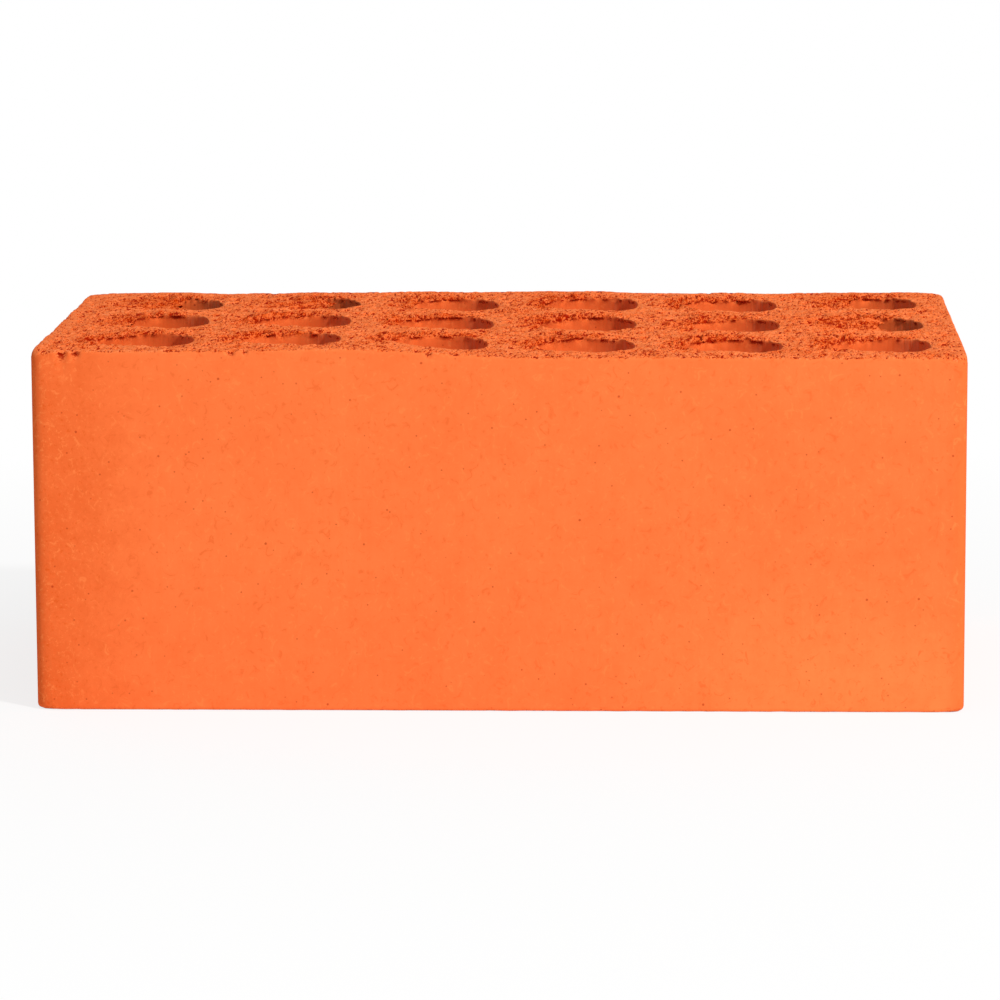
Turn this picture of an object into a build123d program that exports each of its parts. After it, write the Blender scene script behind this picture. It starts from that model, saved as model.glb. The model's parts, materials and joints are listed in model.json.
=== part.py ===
"""Perforated clay wall brick, extruded through a cored die, cut by wires and fired as one piece.

The clay column leaves the die upwards here, so the round cores run along Z and the two
wire-cut bed faces are the top and the bottom. The origin is the centre of the lower bed
face, X runs along the length and Y across the width.
"""

import os

from build123d import *

# Driving dimensions of the fired brick, in millimetres
brick_length = 230.0
brick_width = 125.0
brick_height = 90.0
core_diameter = 25.0
core_columns = 6  # cores along the length
core_rows = 3  # cores across the width
left_shell = 13.0  # wall between the left header face and the nearest cores
right_shell = 8.0  # the same at the right, thinner because the die's cores sit off centre
side_shell = 12.0  # wall between a stretcher face and the nearest cores
arris_radius = 3.0  # upright edges, rounded by the corners of the die
cut_edge_radius = 0.8  # rims of the bed faces, rubbed down after the wire cut

# Spacing and middle of the cores, from what the shells leave between them
core_pitch_x = (brick_length - left_shell - right_shell - core_diameter) / (core_columns - 1)
core_pitch_y = (brick_width - 2 * side_shell - core_diameter) / (core_rows - 1)
cores_middle_x = (left_shell - right_shell) / 2

# The brick: the die's section, drawn out to the height between two cutting wires
with BuildPart() as brick:
    with BuildSketch(Plane.XY) as die_section:
        RectangleRounded(brick_length, brick_width, arris_radius)
        with Locations((cores_middle_x, 0)):
            with GridLocations(core_pitch_x, core_pitch_y, core_columns, core_rows):
                Circle(core_diameter / 2, mode=Mode.SUBTRACT)
    extrude(amount=brick_height)

    bed_faces = brick.faces().filter_by(Axis.Z)
    bed_rims = bed_faces.sort_by(Axis.Z)[0].outer_wire().edges()
    bed_rims += bed_faces.sort_by(Axis.Z)[-1].outer_wire().edges()
    fillet(bed_rims, cut_edge_radius)

brick.part.label = "brick"

os.makedirs("parts", exist_ok=True)
export_step(brick.part, "parts/brick.step")

gross_volume = brick_length * brick_width * brick_height
print(f"core pitch {core_pitch_x:.2f} x {core_pitch_y:.2f} mm")
print(f"webs {core_pitch_x - core_diameter:.2f} x {core_pitch_y - core_diameter:.2f} mm")
print(f"clay {brick.part.volume / 1000:.1f} cm3, voids {1 - brick.part.volume / gross_volume:.1%}")
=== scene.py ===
"""Perforated clay brick: torn wire-cut beds, worn edges and fired clay round the brick's CAD frame.

The clay column left its die upwards, so the sides and the cores have a smooth skin with
upright drag marks. The wire that cut the two beds ran along the length and a little towards
the front. It cut cleanly where it entered the clay and tore it where it left: on the left and
far rims of each core and along the front edge.
"""

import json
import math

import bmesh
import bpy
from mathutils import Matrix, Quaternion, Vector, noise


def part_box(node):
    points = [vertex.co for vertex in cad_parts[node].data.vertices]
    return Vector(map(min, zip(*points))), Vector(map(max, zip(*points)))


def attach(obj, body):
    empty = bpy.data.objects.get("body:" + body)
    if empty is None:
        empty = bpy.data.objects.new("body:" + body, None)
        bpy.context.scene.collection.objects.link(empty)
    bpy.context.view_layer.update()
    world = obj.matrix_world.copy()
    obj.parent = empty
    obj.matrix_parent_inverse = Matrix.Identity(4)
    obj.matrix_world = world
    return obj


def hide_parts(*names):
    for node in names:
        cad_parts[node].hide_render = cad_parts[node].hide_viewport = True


bl_info = {
    "name": "Perforated Clay Brick",
    "version": (1, 0, 0),
    "blender": (4, 5, 0),
    "location": "View3D > Sidebar > Brick",
    "description": "Models a wire-cut clay brick with round cores, and the studio it is shown in",
    "category": "Add Mesh",
}

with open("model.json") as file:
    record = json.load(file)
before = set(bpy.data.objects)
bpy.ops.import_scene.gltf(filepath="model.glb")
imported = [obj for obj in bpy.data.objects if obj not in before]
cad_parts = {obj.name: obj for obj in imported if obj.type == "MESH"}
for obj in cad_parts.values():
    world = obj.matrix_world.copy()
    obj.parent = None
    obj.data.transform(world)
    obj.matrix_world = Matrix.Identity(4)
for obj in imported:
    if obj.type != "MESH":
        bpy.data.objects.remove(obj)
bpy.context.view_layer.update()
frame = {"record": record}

MM = 0.001
NOISE_SEED = 3  # gives the same torn clay in every run
TOLERANCE = 1e-4  # for grid lines that fall on the border of a core or its cell

# The brick as the frame gives it: its box, and the axes of the cores from the openings stated in it
BRICK_LOW, BRICK_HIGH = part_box("brick")
LENGTH, WIDTH, HEIGHT = BRICK_HIGH - BRICK_LOW
CORE_BOXES = [opening["box_m"] for opening in frame["record"]["physics"]["openings"]]
CORE_COLUMNS = sorted({round((low[0] + high[0]) / 2, 5) for low, high in CORE_BOXES})
OUTER_ROWS = sorted({round((low[1] + high[1]) / 2, 5) for low, high in CORE_BOXES})
CORE_ROWS = [OUTER_ROWS[0], sum(OUTER_ROWS) / 2, OUTER_ROWS[-1]]
PITCH_X = CORE_COLUMNS[1] - CORE_COLUMNS[0]
PITCH_Y = CORE_ROWS[1] - CORE_ROWS[0]


def linear(hex_colour):
    """Linear RGB of an sRGB colour written as "#rrggbb"."""
    channels = [int(hex_colour[i:i + 2], 16) / 255 for i in (1, 3, 5)]
    return tuple(c / 12.92 if c <= 0.04045 else ((c + 0.055) / 1.055) ** 2.4 for c in channels)


def length_property(name, description, millimetres):
    """A length that the sidebar shows in the scene's units."""
    return bpy.props.FloatProperty(
        name=name, description=description, default=millimetres * MM, min=0.0, precision=5, unit="LENGTH"
    )


def angle_property(name, description, degrees):
    """An angle that the sidebar shows in degrees."""
    return bpy.props.FloatProperty(
        name=name, description=description, default=math.radians(degrees), subtype="ANGLE"
    )


def colour_property(name, description, hex_colour):
    """A colour swatch whose default is an sRGB hex value."""
    return bpy.props.FloatVectorProperty(
        name=name, description=description, default=linear(hex_colour), min=0.0, max=1.0, subtype="COLOR"
    )


class BrickShape(bpy.types.PropertyGroup):
    """Sizes of the brick's edges, cores and torn beds"""

    core_diameter: length_property("Core diameter", "Diameter of the round cores", 25.0)
    arris_radius: length_property("Arris radius", "Rounding of the upright edges by the die", 3.0)
    edge_wear: length_property("Edge wear", "Rounding of the bed edges by cutting and handling", 0.6)
    wire_angle: angle_property("Wire angle", "Turn of the wire's way from the length to the front", 35.0)
    clump_size: length_property("Clump size", "Width of the clumps that the wire pulled up", 4.2)
    clump_height: length_property("Clump height", "Height of the clumps over the creases between them", 1.3)
    crumb_size: length_property("Crumb size", "Width of the crumbs on the clumps", 1.7)
    crumb_height: length_property("Crumb height", "Height of the crumbs over the cracks between them", 0.42)
    pit_depth: length_property("Pit depth", "Depth of the pits where a crumb was pulled out", 0.5)
    waver: length_property("Waver", "How far the wire trembled about its path", 0.25)
    dip: length_property("Dip", "How far the wire's path ran low at the front right", 1.55)


class ClayColours(bpy.types.PropertyGroup):
    """Colours of the fired clay"""

    skin: colour_property("Skin", "Smooth skin that the die left on the sides", "#FB793F")
    skin_pale: colour_property("Pale skin", "Yellower skin, as at the foot on the right", "#FC8546")
    # Deep skin also tints the cores redder and gives the painted shade along the right end
    skin_deep: colour_property("Deep skin", "Redder skin, where the kiln was hotter", "#E8642C")
    torn: colour_property("Torn clay", "Clay that the wire tore open", "#F4783C")
    # Crumb is partly painted highlight on the raised grains of the torn beds
    crumb: colour_property("Crumb", "Pale crests of the torn crumbs", "#FF9864")
    torn_deep: colour_property("Deep torn clay", "Clay that was torn open worst", "#DC5004")
    # Dust tint: partly dusty drag marks, partly painted light that fills the shade on the right walls of
    # the cores
    dust_and_shade_tint: colour_property("Dust", "Dusty drag marks on the right walls of the cores", "#E87C50")
    # Pore and crack are painted shade: in pores, at the bottoms of pits and cracks, and in the skin's
    # pinholes and dents
    pore: colour_property("Pore", "Small pores of the torn clay", "#C43C00")
    crack: colour_property("Crack", "Bottoms of the pits and cracks", "#A01C00")


class StudioSettings(bpy.types.PropertyGroup):
    """Camera and light that show the brick"""

    camera_place: bpy.props.FloatVectorProperty(
        name="Camera place",
        description="Where the camera stands",
        default=(0.0444, -1.2056, 0.2365),
        subtype="XYZ",
    )
    camera_pitch: angle_property("Pitch", "How far the camera looks down", 9.11)
    camera_yaw: angle_property("Yaw", "How far the camera looks to the right", -2.198)
    camera_roll: angle_property("Roll", "How far the camera leans over", -0.24)
    focal_length: bpy.props.FloatProperty(
        name="Focal length", description="Focal length of the lens", default=169.6, unit="CAMERA"
    )
    sensor_width: bpy.props.FloatProperty(
        name="Sensor width", description="Width of the camera's sensor", default=36.0, unit="CAMERA"
    )
    key_turn: angle_property("Key turn", "How far the key light stands to the right of the front", 45.0)
    key_rise: angle_property("Key rise", "How high the key light stands over the floor", 40.0)
    key_distance: length_property("Key distance", "How far the key light stands from the brick", 2400.0)
    key_size: length_property("Key size", "Width and height of the key light's soft box", 200.0)
    key_power: bpy.props.FloatProperty(
        name="Key power", description="Power of the key light", default=48.5, min=0.0, unit="POWER"
    )
    room_light: bpy.props.FloatProperty(
        name="Room light",
        description="Strength of the light from all round",
        default=0.38,
        min=0.0,
        max=1.0,
        subtype="FACTOR",
    )
    floor: colour_property("Floor", "Pale studio floor", "#F4F3F1")


def smoothstep(low, high, value):
    """0 at low, 1 at high and a smooth rise between them."""
    share = min(max((value - low) / (high - low), 0.0), 1.0)
    return share * share * (3.0 - 2.0 * share)


def hump(value, centre, spread):
    """A smooth hump, 1 at its centre."""
    return math.exp(-((value - centre) / spread) ** 2)


def nearest_core(x, y):
    """Column and row of the core whose cell holds a point."""
    column = min(range(len(CORE_COLUMNS)), key=lambda i: abs(CORE_COLUMNS[i] - x))
    row = min(range(len(CORE_ROWS)), key=lambda i: abs(CORE_ROWS[i] - y))
    return column, row


# Cells of the two beds' grids: over a core's pitch, over the core itself and over the strips outside
UPPER_CELLS = {"pitch": 66, "core": 44, "left": 13, "right": 4, "side": 10}
LOWER_CELLS = {"pitch": 24, "core": 16, "left": 5, "right": 2, "side": 4}
# Depths below the beds at which the walls have a row of vertices
UPPER_ROWS = [depth * MM for depth in (0.4, 0.9, 1.7, 3.0)]
LOWER_ROWS = [depth * MM for depth in (0.5, 1.2, 3.0, 18.0, 34.0, 50.0, 66.0, 82.0)]


def grid_line(index, cells, before, after, axes, half):
    """Place of a grid line: one spacing over the cores' cells, another over each strip outside them."""
    pitch = axes[1] - axes[0]
    first = axes[0] - pitch / 2
    last = axes[-1] + pitch / 2
    inner = cells * len(axes)
    if index < before:
        return -half + (first + half) * index / before
    if index > before + inner:
        return last + (half - last) * (index - before - inner) / after
    return first + (last - first) * (index - before) / inner


def close_round_core(x, y, core_share, radius):
    """Moves a point of a core's cell so that the cell's inner square becomes the core's circle."""
    column, row = nearest_core(x, y)
    centre_x, centre_y = CORE_COLUMNS[column], CORE_ROWS[row]
    across = (x - centre_x) / (PITCH_X / 2)
    along = (y - centre_y) / (PITCH_Y / 2)
    share = max(abs(across), abs(along))
    if share > 1.0 + TOLERANCE or share < core_share - TOLERANCE:
        return x, y
    across, along = across / share, along / share
    if abs(across) >= abs(along):
        angle = math.pi / 4 * along / across + (math.pi if across < 0 else 0.0)
    else:
        angle = math.pi / 2 - math.pi / 4 * across / along + (math.pi if along < 0 else 0.0)
    out = (share - core_share) / (1.0 - core_share)
    x = centre_x + (1 - out) * radius * math.cos(angle) + out * across * PITCH_X / 2
    y = centre_y + (1 - out) * radius * math.sin(angle) + out * along * PITCH_Y / 2
    return x, y


def round_corner(x, y, radius):
    """Draws a point of a plan corner in, so that the corner becomes an arc."""
    over_x = abs(x) - (LENGTH / 2 - radius)
    over_y = abs(y) - (WIDTH / 2 - radius)
    if over_x <= 0 or over_y <= 0:
        return x, y
    shrink = max(over_x, over_y) / math.hypot(over_x, over_y)
    x = math.copysign(LENGTH / 2 - radius + over_x * shrink, x)
    y = math.copysign(WIDTH / 2 - radius + over_y * shrink, y)
    return x, y


def add_bed(bm, z, cells, shape):
    """One bed face as a grid with its cores open. Returns the edges of its rims."""
    columns = len(CORE_COLUMNS) * cells["pitch"] + cells["left"] + cells["right"]
    rows = len(CORE_ROWS) * cells["pitch"] + 2 * cells["side"]
    verts = bmesh.ops.create_grid(bm, x_segments=columns, y_segments=rows, size=0.5)["verts"]
    core_share = cells["core"] / cells["pitch"]
    inside = []
    for vert in verts:
        column = round((vert.co.x + 0.5) * columns)
        row = round((vert.co.y + 0.5) * rows)
        x = grid_line(column, cells["pitch"], cells["left"], cells["right"], CORE_COLUMNS, LENGTH / 2)
        y = grid_line(row, cells["pitch"], cells["side"], cells["side"], CORE_ROWS, WIDTH / 2)
        core_column, core_row = nearest_core(x, y)
        share_x = abs(x - CORE_COLUMNS[core_column]) / (PITCH_X / 2)
        share_y = abs(y - CORE_ROWS[core_row]) / (PITCH_Y / 2)
        if max(share_x, share_y) < core_share - TOLERANCE:
            inside.append(vert)
        else:
            x, y = close_round_core(x, y, core_share, shape.core_diameter / 2)
            x, y = round_corner(x, y, shape.arris_radius)
        vert.co = (x, y, z)
    faces = dict.fromkeys(face for vert in verts for face in vert.link_faces)
    bmesh.ops.delete(bm, geom=inside, context="VERTS")
    edges = dict.fromkeys(edge for face in faces if face.is_valid for edge in face.edges)
    return [edge for edge in edges if edge.is_boundary]


def draw_walls(bm, rims, z, rows, towards):
    """Draws the rims down or up in rows of wall. Returns the edges of the last row."""
    for depth in rows:
        drawn = bmesh.ops.extrude_edge_only(bm, edges=rims)["geom"]
        for part in drawn:
            if isinstance(part, bmesh.types.BMVert):
                part.co.z = z + towards * depth
        rims = [part for part in drawn if isinstance(part, bmesh.types.BMEdge) and part.is_boundary]
    return rims


def bridge_walls(bm, upper, lower, reach):
    """Joins the walls drawn from the two beds, rim by rim."""
    loops = {}
    for edge in upper + lower:
        middle = (edge.verts[0].co + edge.verts[1].co) / 2
        column, row = nearest_core(middle.x, middle.y)
        from_axis = math.hypot(middle.x - CORE_COLUMNS[column], middle.y - CORE_ROWS[row])
        rim = (column, row) if from_axis < reach else "outside"
        loops.setdefault(rim, []).append(edge)
    for edges in loops.values():
        bmesh.ops.bridge_loops(bm, edges=edges)


def plan_edge(x, y, radius):
    """Distance of a plan point from the outside of the brick, and the way out to it."""
    over_x = abs(x) - (LENGTH / 2 - radius)
    over_y = abs(y) - (WIDTH / 2 - radius)
    if over_x > 0 and over_y > 0:
        reach = math.hypot(over_x, over_y)
        return radius - reach, Vector((math.copysign(over_x, x), math.copysign(over_y, y), 0)) / reach
    if over_x > over_y:
        return radius - over_x, Vector((math.copysign(1, x), 0, 0))
    return radius - over_y, Vector((0, math.copysign(1, y), 0))


def nearest_rim(point, shape):
    """Distance of a point from the nearest rim, the way from the rim into the clay, and the rim's core."""
    column, row = nearest_core(point.x, point.y)
    arm = Vector((point.x - CORE_COLUMNS[column], point.y - CORE_ROWS[row], 0))
    from_core = arm.length - shape.core_diameter / 2
    from_edge, way_out = plan_edge(point.x, point.y, shape.arris_radius)
    if from_edge < from_core:
        return from_edge, -way_out, None
    return from_core, arm.normalized(), (column, row)


# Rounding of the cores' rims where the wire entered the clay, and how much more broke off where it left
CORE_RIM = 0.4 * MM
RIM_BREAK = 1.2 * MM
RIM_BREAK_VARIES = 0.9 * MM
SHARPEST_EDGE = 0.22 * MM
# Extra rounding of the plan corners by handling, and how far it reaches along the edges
UPPER_CORNER_WEAR = 1.8 * MM
LOWER_CORNER_WEAR = 1.2 * MM
CORNER_REACH = 4 * MM
# Notches in the top edge of the front: place from the brick's middle, depth below the bed and radius
FRONT_NOTCHES = [
    (-107.2 * MM, 0.8 * MM, 1.7 * MM),
    (-103.8 * MM, 0.7 * MM, 1.4 * MM),
    (-65.5 * MM, 0.5 * MM, 1.1 * MM),
    (-62.0 * MM, 0.4 * MM, 0.8 * MM),
    (-17.0 * MM, 0.4 * MM, 1.0 * MM),
]
NOTCH_DEPTH = 0.8 * MM
NOTCH_REACH = 1.5 * MM  # how far behind the front they go
# How much of the cores' width torn clay covers from the left, in rows from the front, in millimetres
COVERED = [
    [0.0, 0.0, 0.0, 0.0, 0.0, 0.0],
    [5.0, 0.0, 0.0, 0.0, 3.0, 14.5],
    [13.0, 16.0, 3.0, 0.0, 0.0, 8.0],
]
# Length of the clay behind a rim that bends over a core, and how far crumbs stand out over a core
FLAP_LENGTH = 5.5 * MM
FLAP_WAY = Vector((1.0, 0.0, -0.05))  # right, and a little down
LIP_REACH = 1.1 * MM
# How far down the wire pressed a core's rim where it entered the clay, and how far from the core
PRESS_DEPTH = 0.65 * MM
PRESS_WIDTH = 5.0 * MM
# The wire's path runs low over this run from the back to the front, and between these places to the right
DIP_BACK = 45 * MM
DIP_RUN = 107 * MM
DIP_LEFT = -32 * MM
DIP_RIGHT = 10 * MM
TREMBLE_LEVEL = 5.7 * MM  # height at which the noise of its tremble is read
# Ridge that the wire left at the front, left of the middle
RIDGE_HEIGHT = 0.45 * MM
RIDGE_PLACE = -43 * MM
RIDGE_SPREAD = 15 * MM
# Depths below a bed from which the wire's path shows less in the walls, and at which nothing of it is left
PATH_DEPTH = 2 * MM
WORKED_DEPTH = 20 * MM
# Clumps and crumbs are this much longer across the brick than along it
CLUMP_STRETCH = 1.4
# A torn vertex that lies this far below its neighbours is noted as a full pit, with full painted shade
HOLLOW_DROP = 0.18 * MM
# What the mesh notes for the material: clay torn open, pits, cracks and hollows that get painted shade,
# places nearer to a core than to the outside, how badly the wire tore the clay, and the right walls of the
# cores, in shade, which get dusty drag marks and a paler tint that is partly painted light
NOTES = ("torn", "hollow", "cored", "rough", "dust_and_shade_tint")


def ragged(place, coarse, fine, share):
    """Noise with grains of a coarse size and a share of finer ones, from about -1 to 1."""
    return noise.noise(place / coarse) + share * noise.noise(place / fine)


def edge_radius(rim, core, leaving, upper, shape):
    """Rounding of a bed's edge at a point of its rim.

    Leaving is 1 where the wire left the clay and -1 where it entered.
    """
    uneven = ragged(rim, coarse=4.5 * MM, fine=1.7 * MM, share=0.7)
    if core:
        broken = smoothstep(0.2, 0.95, leaving)
        radius = CORE_RIM + broken * (RIM_BREAK + RIM_BREAK_VARIES * uneven)
    else:
        radius = shape.edge_wear * (1.0 + 0.3 * uneven)
        to_corner = (LENGTH / 2 - abs(rim.x)) + (WIDTH / 2 - abs(rim.y))
        wear = UPPER_CORNER_WEAR if upper else LOWER_CORNER_WEAR
        radius += wear * hump(to_corner, 0.0, CORNER_REACH)
    return max(radius, SHARPEST_EDGE)


def round_edge(point, rim, inward, up, travel, radius):
    """Puts a point within an edge's radius onto its arc. Returns it and the way out of the clay there."""
    turn = math.pi / 2 * min(max((travel + radius) / (2 * radius), 0.0), 1.0)
    if abs(travel) < radius:
        point = rim + inward * radius * (1 - math.cos(turn)) - up * radius * (1 - math.sin(turn))
    return point, up * math.sin(turn) - inward * math.cos(turn)


def hanging_clay(rim, inward, core, shape):
    """How far the wire dragged torn clay from a point of a core's rim into the core."""
    column, row = core
    uneven = 1.0 + 0.25 * noise.noise(rim / (7 * MM)) + 0.2 * noise.noise(rim / (2.5 * MM))
    cover = COVERED[row][column] * MM * uneven - shape.core_diameter / 2 * (1.0 + inward.x)
    return max(cover, 0.0)


def lip(rim, inward):
    """How much crumbs stand out over a core at a point of its far rim, from 0 to about 1."""
    return max(noise.noise(rim / (2.2 * MM)) + 0.25, 0.0) * smoothstep(0.0, 0.5, inward.y)


def drag_clay(point, rim, inward, core, run, depth, shape):
    """Drags clay from a rim into its core and lets crumbs stand out over it.

    Returns the point, how far the clay hangs into the core and how much the crumbs stand out.
    """
    travel = run - depth
    hang = hanging_clay(rim, inward, core, shape)
    held = min(run / FLAP_LENGTH, 1.0) if travel > 0 else smoothstep(0.3 * MM, 2.2 * MM, depth)
    over = lip(rim, inward)
    point = point + FLAP_WAY * hang * (1.0 - held)
    point -= inward * LIP_REACH * over * hump(travel, -0.2 * MM, 0.6 * MM)
    return point, hang, over


def undercut_share(depth, hang, over):
    """How far a point of a core's wall lies in the hollow under crumbs or clay that hang over it, where
    shadow is painted.
    """
    under_crumbs = smoothstep(0.15, 0.4, over) * hump(depth, 1.0 * MM, 0.5 * MM)
    under_clay = smoothstep(3 * MM, 8 * MM, hang) * hump(depth, 0.9 * MM, 0.6 * MM)
    return max(under_crumbs, under_clay)


def tearing(point, run, inward, core, leaving):
    """How badly the wire tore the bed at a point, from about 0.1 to 1.5."""
    place = Vector((point.x, point.y, 0))
    patches = ragged(place, coarse=14 * MM, fine=5 * MM, share=0.5)
    if core:
        torn = 0.8 * smoothstep(-0.2, 0.8, leaving) * (1.0 - smoothstep(1.0 * MM, 7.5 * MM, run))
        pressed = 0.4 * smoothstep(0.0, 0.6, -leaving) * (1.0 - smoothstep(0.5 * MM, 4.0 * MM, run))
        by_rim = torn - pressed
    else:
        by_rim = (0.22 * smoothstep(0.1, 0.6, inward.y) - 0.3) * (1.0 - smoothstep(0.0, 5.0 * MM, run))
    return max(0.47 + 0.33 * patches + by_rim, 0.1)


def torn_share(rim, core, travel, radius, tear, hang):
    """How far a point is torn open, from 0 on the skin of the walls to 1 on the bed."""
    if core:
        return smoothstep(-radius - 0.6 * MM * tear - 0.2 * hang, -0.2 * radius, travel)
    frayed = travel + 0.5 * MM * noise.noise(rim / (1.6 * MM))
    return smoothstep(-0.8 * radius, 0.2 * radius, frayed)


def torn_height(point, tear, shape):
    """Height of torn clay over the wire's path at a point, and how far the point lies in a crack or pit,
    where shade is painted.
    """
    warp = 0.4 * MM * noise.noise_vector(point / (1.6 * MM))
    across = Vector((point.x, point.y / CLUMP_STRETCH, point.z)) + warp
    clumps = noise.turbulence(across / shape.clump_size, 2, True, amplitude_scale=0.5, frequency_scale=2.0)
    distances, centres = noise.voronoi(across / shape.crumb_size)
    crumb = noise.cell(centres[0] * 61.0)  # a height of its own for each crumb, from -1 to 1
    crack = 1.0 - smoothstep(0.05, 0.28, distances[1] - distances[0])
    pit = smoothstep(-0.55, -0.85, crumb)
    height = tear ** 1.5 * shape.clump_height * (clumps - 0.4)
    height += (0.35 + 0.65 * tear) * shape.crumb_height * (0.6 * crumb - 0.5 * crack)
    return height - pit * shape.pit_depth * tear, max(pit, 0.7 * crack)


def unrubbed_share(run, inward, upper):
    """Share of the torn height that handling left by the outer edges, most of all at the top front edge."""
    rubbed = 0.45 - 0.15 * smoothstep(0.1, 0.6, inward.y) if upper else 1.0
    return 1.0 - rubbed * (1.0 - smoothstep(0.5 * MM, 4.0 * MM, run))


def front_notch(point, depth):
    """How far a point of the front lies in one of the notches of its top edge."""
    if point.y > -WIDTH / 2 + NOTCH_REACH:
        return 0.0
    inside = 0.0
    for x, z, radius in FRONT_NOTCHES:
        away = math.hypot(point.x - x, depth - z)
        inside = max(inside, 1.0 - smoothstep(0.4 * radius, radius, away))
    return inside


def wire_path(x, y, shape):
    """Height of the wire's path over a level cut. It trembled, and ran low at the front right."""
    place = Vector((x, y, TREMBLE_LEVEL))
    tremble = ragged(place, coarse=45 * MM, fine=13 * MM, share=0.6)
    to_front = min(max((DIP_BACK - y) / DIP_RUN, 0.0), 1.0)
    ridge = RIDGE_HEIGHT * hump(x, RIDGE_PLACE, RIDGE_SPREAD) * to_front
    dip = shape.dip * smoothstep(DIP_LEFT, DIP_RIGHT, x) * to_front
    return shape.waver * (2.6 - 1.8 * to_front) * tremble + ridge - dip


def pressed_depth(travel, leaving):
    """How far down the wire pressed a core's rim at a point."""
    near = 1.0 - smoothstep(0.0, PRESS_WIDTH, max(travel, 0.0))
    return PRESS_DEPTH * smoothstep(0.5, 1.0, -leaving) * near


def work_surface(bm, shape):
    """Wears the edges and tears the beds of the plain brick, and notes for the material what is torn, where
    shade is painted in pits, cracks, notches and undercuts, and the shaded right walls of the cores.
    """
    noted = {name: bm.verts.layers.float.new(name) for name in NOTES}
    noise.seed_set(NOISE_SEED)
    wire = Vector((math.cos(shape.wire_angle), -math.sin(shape.wire_angle), 0))
    for vert in bm.verts:
        point = vert.co.copy()
        upper = point.z > HEIGHT / 2
        bed_z = HEIGHT if upper else 0.0
        up = Vector((0, 0, 1 if upper else -1))
        depth = abs(bed_z - point.z)
        run, inward, core = nearest_rim(point, shape)
        vert[noted["cored"]] = 1.0 if core else 0.0
        # The right walls of the cores face away from the key light: they get dusty drag marks whose paler
        # tint is partly painted light in the shade there
        vert[noted["dust_and_shade_tint"]] = smoothstep(0.2, 0.8, inward.x) if core else 0.0
        if depth > WORKED_DEPTH:
            continue

        # Round the edge, and drag clay over the core
        rim = point - inward * run
        rim.z = bed_z
        leaving = -inward.dot(wire)
        travel = run - depth
        radius = edge_radius(rim, core, leaving, upper, shape)
        point, normal = round_edge(point, rim, inward, up, travel, radius)
        hang = 0.0
        over = 0.0
        if core and upper:
            point, hang, over = drag_clay(point, rim, inward, core, run, depth, shape)

        # Tear the bed and the top of the wall
        tear = tearing(point, run, inward, core, leaving)
        torn = torn_share(rim, core, travel, radius, tear, hang)
        height, pit = torn_height(point, tear, shape)
        if not core:
            height *= unrubbed_share(run, inward, upper)
        notch = front_notch(point, depth) if upper else 0.0
        undercut = undercut_share(depth, hang, over)

        # Follow the wire's path, with nothing below the plane that the brick lies on
        path = wire_path(point.x, point.y, shape) if upper else 0.0
        if core and upper:
            path -= pressed_depth(travel, leaving)
        fade = 1.0 - smoothstep(PATH_DEPTH, WORKED_DEPTH, depth)
        point += normal * (height * torn - NOTCH_DEPTH * notch) + up * path * fade
        if not upper:
            point.z = max(point.z, 0.0)
        vert.co = point
        # Notches and the hollows under hanging clay take the torn clay's colour, and pits, notches and
        # these hollows get painted shade
        vert[noted["torn"]] = max(torn, notch, undercut)
        vert[noted["hollow"]] = max(pit * torn, 2.0 * notch, 2.0 * undercut)
        vert[noted["rough"]] = smoothstep(0.1, 1.2, tear)


def note_hollows(bm):
    """Adds to the noted pits how far each torn vertex lies below its neighbours, or takes off if above:
    more painted shade in hollows, less on crests.
    """
    torn_layer = bm.verts.layers.float["torn"]
    hollow_layer = bm.verts.layers.float["hollow"]
    bm.normal_update()
    for vert in bm.verts:
        if vert[torn_layer] == 0.0:
            continue
        around = [edge.other_vert(vert).co for edge in vert.link_edges]
        below = (sum(around, Vector()) / len(around) - vert.co).dot(vert.normal) / HOLLOW_DROP
        vert[hollow_layer] = min(max(vert[hollow_layer] + below * vert[torn_layer], -1.0), 2.0)


def link_object(name, mesh):
    """A new object of the scene that holds a mesh."""
    piece = bpy.data.objects.new(name, mesh)
    bpy.context.scene.collection.objects.link(piece)
    return piece


def brick_mesh(shape):
    """The whole brick as one closed mesh."""
    bm = bmesh.new()
    upper = add_bed(bm, HEIGHT, UPPER_CELLS, shape)
    upper = draw_walls(bm, upper, HEIGHT, UPPER_ROWS, -1)
    lower = add_bed(bm, 0.0, LOWER_CELLS, shape)
    lower = draw_walls(bm, lower, 0.0, LOWER_ROWS, 1)
    bridge_walls(bm, upper, lower, reach=shape.core_diameter / 2 + 1 * MM)
    bmesh.ops.recalc_face_normals(bm, faces=bm.faces[:])
    work_surface(bm, shape)
    note_hollows(bm)
    # The skin is shaded smooth, and torn crumbs keep their edges
    torn_layer = bm.verts.layers.float["torn"]
    for face in bm.faces:
        face.smooth = min(vert[torn_layer] for vert in face.verts) < 0.5
    mesh = bpy.data.meshes.new("fired_brick")
    bm.to_mesh(mesh)
    bm.free()
    return mesh


def add_node(tree, kind, settings=None, output=None, **inputs):
    """Adds a shader node with its settings, values and links. Returns its named or first output."""
    node = tree.nodes.new("ShaderNode" + kind)
    for name, value in (settings or {}).items():
        setattr(node, name, value)
    for key, value in inputs.items():
        socket = next(
            s for s in node.inputs if s.enabled and key in (s.identifier, s.name.replace(" ", "_"))
        )
        if isinstance(value, bpy.types.NodeSocket):
            tree.links.new(value, socket)
        else:
            socket.default_value = (*value, 1.0) if socket.type == "RGBA" else value
    return next((s for s in node.outputs if s.enabled and output in (None, s.name)), None)


# Settings that more than one node has
BLEND = {"data_type": "RGBA"}
SMOOTH = {"interpolation_type": "SMOOTHSTEP"}
TIMES = {"operation": "MULTIPLY"}
WEIGH = {"operation": "MULTIPLY_ADD"}
LARGEST = {"operation": "MAXIMUM"}

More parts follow.
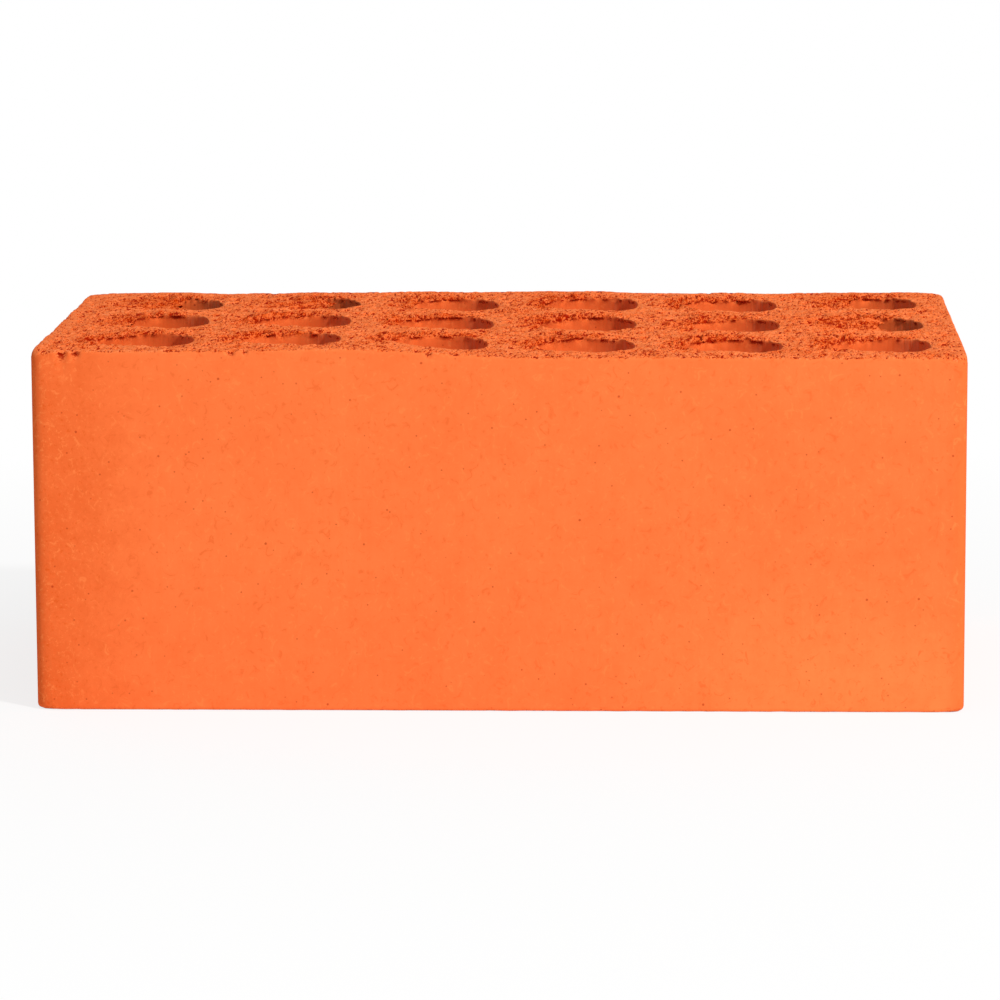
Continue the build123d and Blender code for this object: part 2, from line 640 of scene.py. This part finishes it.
# Sizes of the clay's patterns, given along X, Y and Z where they differ
CLOUD = 30 * MM
MOTTLE = 7 * MM
SPECK = 0.9 * MM
DRAG_MARK = (1.2 * MM, 1.2 * MM, 45 * MM)
DUST_MARK = (0.8 * MM, 1.6 * MM, 6 * MM)
PINHOLE_SPACING = 3.2 * MM
DENT_SPACING = 8 * MM
SCUFF = 2.6 * MM
TORN_PATCH = 3 * MM
TORN_GRAIN = (0.5 * MM, 1.5 * MM, 0.5 * MM)
TORN_PORE = (0.46 * MM, 2.0 * MM, 0.46 * MM)
# How high the marks stand up as bumps
SPECK_BUMP = 0.08 * MM
DRAG_BUMP = 0.1 * MM
DUST_BUMP = 0.25 * MM
GRAIN_BUMP = 0.04 * MM
# A strip along the left end that the kiln turned redder, and a strip along the right end, redder with
# painted shade
HOT_END = 34 * MM
RIGHT_SHADE_WIDTH = 6 * MM
# The skin turns yellower downwards between these heights and to the right between these places
FOOT_TOP = 45 * MM
FOOT_LOW = 5 * MM
FOOT_LEFT = 15 * MM
FOOT_RIGHT = 85 * MM


def kiln_colour(tree, place, cored, colours):
    """Colour that the kiln gave the skin, with painted shade along the right end. Returns it and how hot
    the left end was.
    """
    left, right = BRICK_LOW.x, BRICK_HIGH.x
    x = add_node(tree, "SeparateXYZ", output="X", Vector=place)
    z = add_node(tree, "SeparateXYZ", output="Z", Vector=place)

    # Faint clouds a thumb wide
    clouds = add_node(tree, "TexNoise", Vector=place, Scale=1 / CLOUD, Detail=4.0, Roughness=0.55)
    pale = add_node(tree, "MapRange", Value=clouds, From_Min=0.5, From_Max=0.75, To_Max=0.25)
    deep = add_node(tree, "MapRange", Value=clouds, From_Min=0.5, From_Max=0.25, To_Max=0.2)

    # Redder at the left end and in the cores, redder and darker along the right end as painted shade, and
    # yellower at the foot of the right half
    hot = add_node(
        tree, "MapRange", SMOOTH, Value=x, From_Min=left, From_Max=left + HOT_END, To_Min=1.4, To_Max=0.0
    )
    hot = add_node(tree, "Math", TIMES, Value=hot, Value_001=clouds)
    right_shade = add_node(
        tree, "MapRange", SMOOTH, Value=x, From_Min=right - RIGHT_SHADE_WIDTH, From_Max=right, To_Max=0.6
    )
    core_redder = add_node(tree, "Math", TIMES, Value=cored, Value_001=0.55)
    low = add_node(tree, "MapRange", SMOOTH, Value=z, From_Min=FOOT_TOP, From_Max=FOOT_LOW)
    to_right = add_node(tree, "MapRange", SMOOTH, Value=x, From_Min=FOOT_LEFT, From_Max=FOOT_RIGHT)
    foot = add_node(tree, "Math", TIMES, Value=low, Value_001=to_right)

    # Faint mottles a few millimetres wide, stronger at the hot end
    mottle = add_node(tree, "TexNoise", Vector=place, Scale=1 / MOTTLE, Detail=5.0, Roughness=0.7)
    mottle = add_node(tree, "MapRange", Value=mottle, From_Min=0.58, From_Max=0.25, To_Max=0.55)
    contrast = add_node(tree, "MapRange", Value=hot, To_Min=0.6, To_Max=2.4)
    mottle = add_node(tree, "Math", TIMES, Value=mottle, Value_001=contrast)

    colour = colours.skin
    for share, tint in (
        (foot, colours.skin_pale),
        (pale, colours.skin_pale),
        (deep, colours.skin_deep),
        (hot, colours.skin_deep),
        (right_shade, colours.skin_deep),
        (core_redder, colours.skin_deep),
        (mottle, colours.skin_deep),
    ):
        colour = add_node(tree, "Mix", BLEND, "Result", Factor=share, A=colour, B=tint)
    return colour, hot


def marked_skin(tree, place, noted, hot, colour, colours):
    """Marks of the die, of firing and of handling on the skin, with painted shade in pinholes and dents and
    a partly painted tint on the right walls of the cores. Returns its colour and its bumps.
    """
    # Red specks and pale flecks half a millimetre wide on the rougher skin of the hot end
    speck = add_node(tree, "TexNoise", Vector=place, Scale=1 / SPECK, Detail=2.0, Roughness=0.6)
    red = add_node(tree, "MapRange", Value=speck, From_Min=0.39, From_Max=0.29, To_Max=0.7)
    red = add_node(tree, "Math", TIMES, Value=red, Value_001=hot)
    fleck = add_node(tree, "MapRange", Value=speck, From_Min=0.6, From_Max=0.7, To_Max=0.8)
    fleck = add_node(tree, "Math", TIMES, Value=fleck, Value_001=hot)

    # Upright drag marks of the die, strongest in the cores, and dusty ones on the right walls of the cores,
    # which lie in shade and whose paler tint is partly painted light
    drawn = add_node(tree, "Mapping", Vector=place, Scale=[1 / size for size in DRAG_MARK])
    drag = add_node(tree, "TexNoise", Vector=drawn, Scale=1.0, Detail=2.0, Roughness=0.5)
    strongest = add_node(tree, "MapRange", Value=noted["cored"], To_Min=0.05, To_Max=0.3)
    streak = add_node(tree, "MapRange", Value=drag, From_Min=0.55, From_Max=0.25, To_Max=strongest)
    hatched = add_node(tree, "Mapping", Vector=place, Scale=[1 / size for size in DUST_MARK])
    hatch = add_node(tree, "TexNoise", Vector=hatched, Scale=1.0, Detail=1.0)
    dust_and_shade_share = add_node(tree, "MapRange", Value=hatch, From_Min=0.45, From_Max=0.62, To_Min=0.3)
    dust_and_shade_share = add_node(tree, "Math", TIMES, Value=dust_and_shade_share, Value_001=noted["dust_and_shade_tint"])

    # Painted shade in pinholes half a millimetre wide, and in dents a little wider and further apart
    from_hole = add_node(tree, "TexVoronoi", output="Distance", Vector=place, Scale=1 / PINHOLE_SPACING)
    hole = add_node(tree, "MapRange", Value=from_hole, From_Min=0.09, From_Max=0.04, To_Max=0.55)
    from_dent = add_node(tree, "TexVoronoi", output="Distance", Vector=place, Scale=1 / DENT_SPACING)
    dent = add_node(tree, "MapRange", Value=from_dent, From_Min=0.05, From_Max=0.025, To_Max=0.6)
    hole = add_node(tree, "Math", LARGEST, Value=hole, Value_001=dent)

    # Smudges and shallow scuffs of handling, one to five millimetres long
    scuff = add_node(
        tree, "TexNoise", Vector=place, Scale=1 / SCUFF, Detail=4.0, Roughness=0.7, Distortion=1.2
    )
    smudge = add_node(tree, "MapRange", Value=scuff, From_Min=0.57, From_Max=0.67, To_Max=0.6)
    rubbed = add_node(tree, "MapRange", Value=scuff, From_Min=0.43, From_Max=0.33, To_Max=0.6)

    for share, tint in (
        (red, colours.torn_deep),
        (fleck, colours.skin_pale),
        (streak, colours.torn_deep),
        (dust_and_shade_share, colours.dust_and_shade_tint),
        (hole, colours.crack),
        (smudge, colours.skin_deep),
        (rubbed, colours.skin_pale),
    ):
        colour = add_node(tree, "Mix", BLEND, "Result", Factor=share, A=colour, B=tint)

    pull = add_node(tree, "MapRange", Value=noted["cored"], To_Min=0.2, To_Max=1.0)
    bumps = add_node(tree, "Bump", Height=speck, Strength=hot, Distance=SPECK_BUMP)
    bumps = add_node(tree, "Bump", Height=drag, Strength=pull, Distance=DRAG_BUMP, Normal=bumps)
    bumps = add_node(tree, "Bump", Height=hatch, Strength=noted["dust_and_shade_tint"], Distance=DUST_BUMP, Normal=bumps)
    return colour, bumps


def torn_bed(tree, place, noted, colours):
    """Granular ground of the torn beds, its marks longer across the brick, with painted highlights and
    shade. Returns its colour and grain.
    """
    # Pale crests of the grains, partly painted highlight where the grain's bumps stand highest
    fine = add_node(tree, "Mapping", Vector=place, Scale=[1 / size for size in TORN_GRAIN])
    grain = add_node(tree, "TexNoise", Vector=fine, Scale=1.0, Detail=2.0, Roughness=0.6)
    crest = add_node(tree, "MapRange", Value=grain, From_Min=0.46, From_Max=0.66, To_Max=0.6)

    # Painted shade in pores about half a millimetre wide, more of them in patches and where the clay is
    # torn worst
    patch = add_node(tree, "TexNoise", Vector=place, Scale=1 / TORN_PATCH, Detail=3.0, Roughness=0.6)
    across = add_node(tree, "Mapping", Vector=place, Scale=[1 / size for size in TORN_PORE])
    pores = add_node(tree, "TexNoise", Vector=across, Scale=1.0, Detail=1.0, Distortion=1.3)
    pores = add_node(tree, "Math", WEIGH, Value=patch, Value_001=0.35, Value_002=pores)
    pores = add_node(tree, "Math", WEIGH, Value=noted["rough"], Value_001=-0.11, Value_002=pores)
    pore = add_node(tree, "MapRange", Value=pores, From_Min=0.545, From_Max=0.485)
    pore_floor = add_node(tree, "MapRange", Value=pores, From_Min=0.49, From_Max=0.43)

    # Redder clay in blotches and where it is torn worst, and round the pores as the soft rim of their
    # painted shade
    redder = add_node(tree, "MapRange", Value=pores, From_Min=0.585, From_Max=0.495, To_Max=0.8)
    redder = add_node(tree, "Math", WEIGH, Value=noted["rough"], Value_001=0.32, Value_002=redder)
    blotch = add_node(tree, "MapRange", Value=patch, From_Min=0.52, From_Max=0.32, To_Max=0.3)
    redder = add_node(tree, "Math", {"use_clamp": True}, Value=redder, Value_001=blotch)

    # Painted shade in short cracks, most of them in the pits and creases of the mesh, as dark as the floors
    # of the pores
    tears = add_node(tree, "TexNoise", Vector=across, Scale=0.5, Detail=2.0, Distortion=1.5)
    sunk = add_node(tree, "Math", WEIGH, Value=noted["hollow"], Value_001=-0.12, Value_002=tears)
    sunk = add_node(tree, "Math", WEIGH, Value=noted["rough"], Value_001=-0.09, Value_002=sunk)
    crack = add_node(tree, "MapRange", Value=sunk, From_Min=0.338, From_Max=0.278)
    crack = add_node(tree, "Math", LARGEST, Value=crack, Value_001=pore_floor)

    colour = colours.torn
    for share, tint in (
        (crest, colours.crumb),
        (redder, colours.torn_deep),
        (pore, colours.pore),
        (crack, colours.crack),
    ):
        colour = add_node(tree, "Mix", BLEND, "Result", Factor=share, A=colour, B=tint)
    return colour, grain


def fired_clay_material(colours):
    """Fired brick clay, unglazed, drawn through a die and torn open on its beds by the cutting wire."""
    # It is matt all over. The die's skin is an even orange with clouds, drag marks, pinholes and scuffs;
    # shade is painted in the pinholes and dents and along the right end, and a paler, partly painted tint
    # on the shaded right walls of the cores. The torn beds are granular, with pale crests that are partly
    # painted highlight, and red pores and cracks of painted shade
    material = bpy.data.materials.new("fired_clay")
    material.use_nodes = True
    tree = material.node_tree
    shader = tree.nodes["Principled BSDF"]
    place = add_node(tree, "TexCoord", output="Object")
    noted = {name: add_node(tree, "Attribute", {"attribute_name": name}, "Fac") for name in NOTES}
    skin, hot = kiln_colour(tree, place, noted["cored"], colours)
    skin, marks = marked_skin(tree, place, noted, hot, skin, colours)
    bed, grain = torn_bed(tree, place, noted, colours)
    colour = add_node(tree, "Mix", BLEND, "Result", Factor=noted["torn"], A=skin, B=bed)
    bumps = add_node(tree, "Bump", Height=grain, Strength=noted["torn"], Distance=GRAIN_BUMP, Normal=marks)
    tree.links.new(colour, shader.inputs["Base Color"])
    tree.links.new(bumps, shader.inputs["Normal"])
    shader.inputs["Roughness"].default_value = 0.95
    shader.inputs["Specular IOR Level"].default_value = 0.05
    return material


class BRICK_OT_add_brick(bpy.types.Operator):
    """Model the fired brick with its cores, worn edges and torn beds"""

    bl_idname = "brick.add_brick"
    bl_label = "Add Brick"

    def execute(self, context):
        mesh = brick_mesh(context.scene.brick_shape)
        mesh.materials.append(fired_clay_material(context.scene.clay_colours))
        brick = link_object("fired_brick", mesh)
        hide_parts("brick")
        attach(brick, "root")
        return {"FINISHED"}


# The studio paper: distances from the brick's middle between which it turns fully white, how white it is
# near the brick, and half its width
PAPER_NEAR = 120 * MM
PAPER_FAR = 400 * MM
PAPER_GLOW = 0.8
PAPER_HALF = 6000 * MM


def seen_share(tree):
    """1 on rays that show a surface, to the camera or in a reflection, and 0 on rays that light others."""
    camera = add_node(tree, "LightPath", output="Is Camera Ray")
    glossy = add_node(tree, "LightPath", output="Is Glossy Ray")
    through = add_node(tree, "LightPath", output="Is Transmission Ray")
    mirrored = add_node(tree, "Math", LARGEST, Value=glossy, Value_001=through)
    return add_node(tree, "Math", LARGEST, Value=camera, Value_001=mirrored)


def floor_material(colour):
    """Uncoated studio paper, rolled out under the brick."""
    # It is fully matt, takes the brick's shadow and shines white further away, as overlit paper does
    material = bpy.data.materials.new("studio_paper")
    material.use_nodes = True
    tree = material.node_tree
    tree.nodes.clear()
    place = add_node(tree, "TexCoord", output="Object")
    away = add_node(tree, "VectorMath", {"operation": "LENGTH"}, "Value", Vector=place)
    white = add_node(
        tree, "MapRange", Value=away, From_Min=PAPER_NEAR, From_Max=PAPER_FAR, To_Min=PAPER_GLOW, To_Max=1.0
    )
    share = add_node(tree, "Math", TIMES, Value=seen_share(tree), Value_001=white)
    paper = add_node(tree, "BsdfDiffuse", Color=colour)
    glow = add_node(tree, "Emission", Color=linear("#FFFFFF"), Strength=1.0)
    both = add_node(tree, "MixShader", Fac=share, Shader=paper, Shader_001=glow)
    add_node(tree, "OutputMaterial", Surface=both)
    return material


def add_floor(colour):
    """A sheet of studio paper under the brick."""
    bm = bmesh.new()
    bmesh.ops.create_grid(bm, x_segments=1, y_segments=1, size=PAPER_HALF)
    mesh = bpy.data.meshes.new("studio_floor")
    bm.to_mesh(mesh)
    bm.free()
    mesh.materials.append(floor_material(colour))
    link_object("studio_floor", mesh)


def add_world(scene, room_light):
    """A plain white studio round the brick, dimmer as a light than it looks."""
    world = bpy.data.worlds.new("studio")
    world.use_nodes = True
    scene.world = world
    tree = world.node_tree
    tree.nodes.clear()
    strength = add_node(tree, "MapRange", Value=seen_share(tree), To_Min=room_light, To_Max=1.0)
    sky = add_node(tree, "Background", Color=linear("#FFFFFF"), Strength=strength)
    add_node(tree, "OutputWorld", Surface=sky)


def add_key_light(scene, studio):
    """A square soft box that faces the brick, round to the right of its front and above the floor."""
    lamp = bpy.data.lights.new("key", "AREA")
    lamp.size = studio.key_size
    lamp.energy = studio.key_power
    box = bpy.data.objects.new("key", lamp)
    turn, rise = studio.key_turn, studio.key_rise
    way = Vector((math.sin(turn) * math.cos(rise), -math.cos(turn) * math.cos(rise), math.sin(rise)))
    box.location = Vector((0, 0, HEIGHT / 2)) + way * studio.key_distance
    box.rotation_mode = "QUATERNION"
    box.rotation_quaternion = (-way).to_track_quat("-Z", "Y")
    scene.collection.objects.link(box)


def add_camera(scene, studio):
    """The camera at the photograph's viewing angle."""
    lens = bpy.data.cameras.new("camera")
    lens.lens = studio.focal_length
    lens.sensor_width = studio.sensor_width
    lens.clip_start = 0.01
    lens.clip_end = 50.0
    camera = bpy.data.objects.new("camera", lens)
    scene.collection.objects.link(camera)
    pitch, yaw = studio.camera_pitch, studio.camera_yaw
    look = Vector((math.sin(yaw) * math.cos(pitch), math.cos(yaw) * math.cos(pitch), -math.sin(pitch)))
    camera.location = studio.camera_place
    camera.rotation_mode = "QUATERNION"
    lean = Quaternion((0, 0, 1), studio.camera_roll)
    camera.rotation_quaternion = look.to_track_quat("-Z", "Y") @ lean
    scene.camera = camera


class BRICK_OT_add_studio(bpy.types.Operator):
    """Set up the floor, the light and the camera"""

    bl_idname = "brick.add_studio"
    bl_label = "Add Studio"

    def execute(self, context):
        scene = context.scene
        studio = scene.brick_studio
        add_floor(studio.floor)
        add_world(scene, studio.room_light)
        add_key_light(scene, studio)
        add_camera(scene, studio)
        scene.view_settings.view_transform = "Standard"
        return {"FINISHED"}


class BRICK_PT_sidebar(bpy.types.Panel):
    """Lists the brick's sizes, colours and operators"""

    bl_idname = "BRICK_PT_sidebar"
    bl_label = "Clay Brick"
    bl_space_type = "VIEW_3D"
    bl_region_type = "UI"
    bl_category = "Brick"

    def draw(self, context):
        for group in (context.scene.brick_shape, context.scene.clay_colours, context.scene.brick_studio):
            column = self.layout.column(align=True)
            for name in group.__annotations__:
                column.prop(group, name)
        self.layout.operator(BRICK_OT_add_brick.bl_idname)
        self.layout.operator(BRICK_OT_add_studio.bl_idname)


CLASSES = (
    BrickShape,
    ClayColours,
    StudioSettings,
    BRICK_OT_add_brick,
    BRICK_OT_add_studio,
    BRICK_PT_sidebar,
)


def register():
    for cls in CLASSES:
        bpy.utils.register_class(cls)
    bpy.types.Scene.brick_shape = bpy.props.PointerProperty(type=BrickShape)
    bpy.types.Scene.clay_colours = bpy.props.PointerProperty(type=ClayColours)
    bpy.types.Scene.brick_studio = bpy.props.PointerProperty(type=StudioSettings)


def unregister():
    del bpy.types.Scene.brick_studio
    del bpy.types.Scene.clay_colours
    del bpy.types.Scene.brick_shape
    for cls in reversed(CLASSES):
        bpy.utils.unregister_class(cls)


def main():
    register()
    bpy.ops.brick.add_brick()
    bpy.ops.brick.add_studio()


if __name__ == "__main__":
    main()
